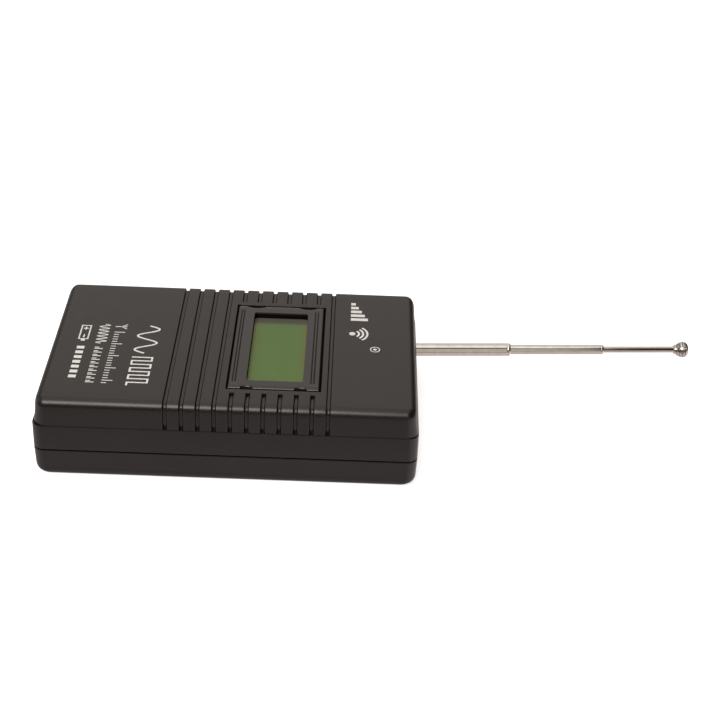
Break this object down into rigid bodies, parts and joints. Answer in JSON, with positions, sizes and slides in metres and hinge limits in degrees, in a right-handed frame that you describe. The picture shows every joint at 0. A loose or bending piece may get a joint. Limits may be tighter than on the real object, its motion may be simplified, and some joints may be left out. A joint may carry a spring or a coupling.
{
  "type": "frequency counter",
  "caption": "Handheld frequency counter with a ribbed black case, a character display, a sliding battery door, side controls and a telescopic antenna.",
  "frame": {"origin": "centre of the flat back face of the case, the face it lies on", "axes": "+X along the case towards the antenna, +Y across the case towards the side with the controls, +Z out of the display"},
  "size_m": [0.194, 0.0691, 0.0253],
  "materials": {
    "case_plastic": "fine moulded satin texture, warm black",
    "control_plastic": "satin black",
    "bezel_metal": "satin black lacquer on pressed steel",
    "display_glass": "clear glass over a yellow-green film, seen as opaque",
    "backlight_plastic": "milky light guide",
    "circuit_board": "green solder mask on glass laminate",
    "chip_plastic": "moulded black",
    "plated_steel": "bright tin or zinc plating",
    "dark_steel": "blackened steel",
    "capacitor_sleeve": "shrunk dark blue sleeve",
    "trimmer_plastic": "moulded blue",
    "battery_jacket": "printed metal jacket with no lettering",
    "red_insulation": "soft vinyl wire insulation",
    "black_insulation": "soft vinyl wire insulation",
    "foam": "open-cell foam",
    "antenna_plating": "bright nickel or chrome plating",
    "saddle_metal": "bare brass"
  },
  "bodies": {
    "case": {"top_shell": "case_plastic", "bottom_shell": "case_plastic", "lcd_bezel": "bezel_metal", "lcd_glass": "display_glass", "lcd_backlight": "backlight_plastic", "lcd_board": "circuit_board", "lcd_driver": "chip_plastic", "display_header": "chip_plastic", "lcd_screw_1": "plated_steel", "lcd_screw_2": "plated_steel", "lcd_screw_3": "plated_steel", "lcd_screw_4": "plated_steel", "main_board": "circuit_board", "board_screw_1": "plated_steel", "board_screw_2": "plated_steel", "microcontroller": "chip_plastic", "prescaler_chip": "chip_plastic", "input_amplifier": "chip_plastic", "crystal": "plated_steel", "capacitor": "capacitor_sleeve", "input_capacitor": "capacitor_sleeve", "contrast_trimmer": "trimmer_plastic", "voltage_regulator": "chip_plastic", "power_switch_body": "plated_steel", "function_switch_body": "chip_plastic", "battery": "battery_jacket", "battery_positive_stud": "plated_steel", "battery_negative_stud": "plated_steel", "battery_snap": "chip_plastic", "battery_lead_positive": "red_insulation", "battery_lead_negative": "black_insulation", "battery_foam": "foam", "antenna_base_tube": "antenna_plating", "antenna_front_saddle": "saddle_metal", "antenna_rear_saddle": "saddle_metal", "antenna_rear_plug": "saddle_metal", "antenna_lead": "red_insulation", "case_screw_1": "dark_steel", "case_screw_2": "dark_steel", "case_screw_3": "dark_steel", "case_screw_4": "dark_steel"},
    "door": {"battery_door": "case_plastic"},
    "antenna_stage_1": {"antenna_first_section": "antenna_plating"},
    "antenna_stage_2": {"antenna_second_section": "antenna_plating"},
    "antenna_stage_3": {"antenna_rod": "antenna_plating", "antenna_tip": "antenna_plating"},
    "switch": {"power_switch_knob": "control_plastic"},
    "button": {"function_button": "control_plastic"}
  },
  "joints": [
    {"name": "door_slide", "type": "slide", "parent": "case", "child": "door", "axis": [-1, 0, 0], "range_m": [0, 0.033]},
    {"name": "antenna_slide_1", "type": "slide", "parent": "case", "child": "antenna_stage_1", "axis": [0.9976, 0.0698, 0], "range_m": [-0.029, 0]},
    {"name": "antenna_slide_2", "type": "slide", "parent": "antenna_stage_1", "child": "antenna_stage_2", "axis": [0.9976, 0.0698, 0], "range_m": [-0.0287, 0]},
    {"name": "antenna_slide_3", "type": "slide", "parent": "antenna_stage_2", "child": "antenna_stage_3", "axis": [0.9976, 0.0698, 0], "range_m": [-0.022, 0]},
    {"name": "power_switch_slide", "type": "slide", "parent": "case", "child": "switch", "axis": [1, 0, 0], "range_m": [0, 0.003]},
    {"name": "function_button_press", "type": "slide", "parent": "case", "child": "button", "axis": [0, -1, 0], "range_m": [0, 0.0006], "stiffness_N_per_m": 300}
  ]
}
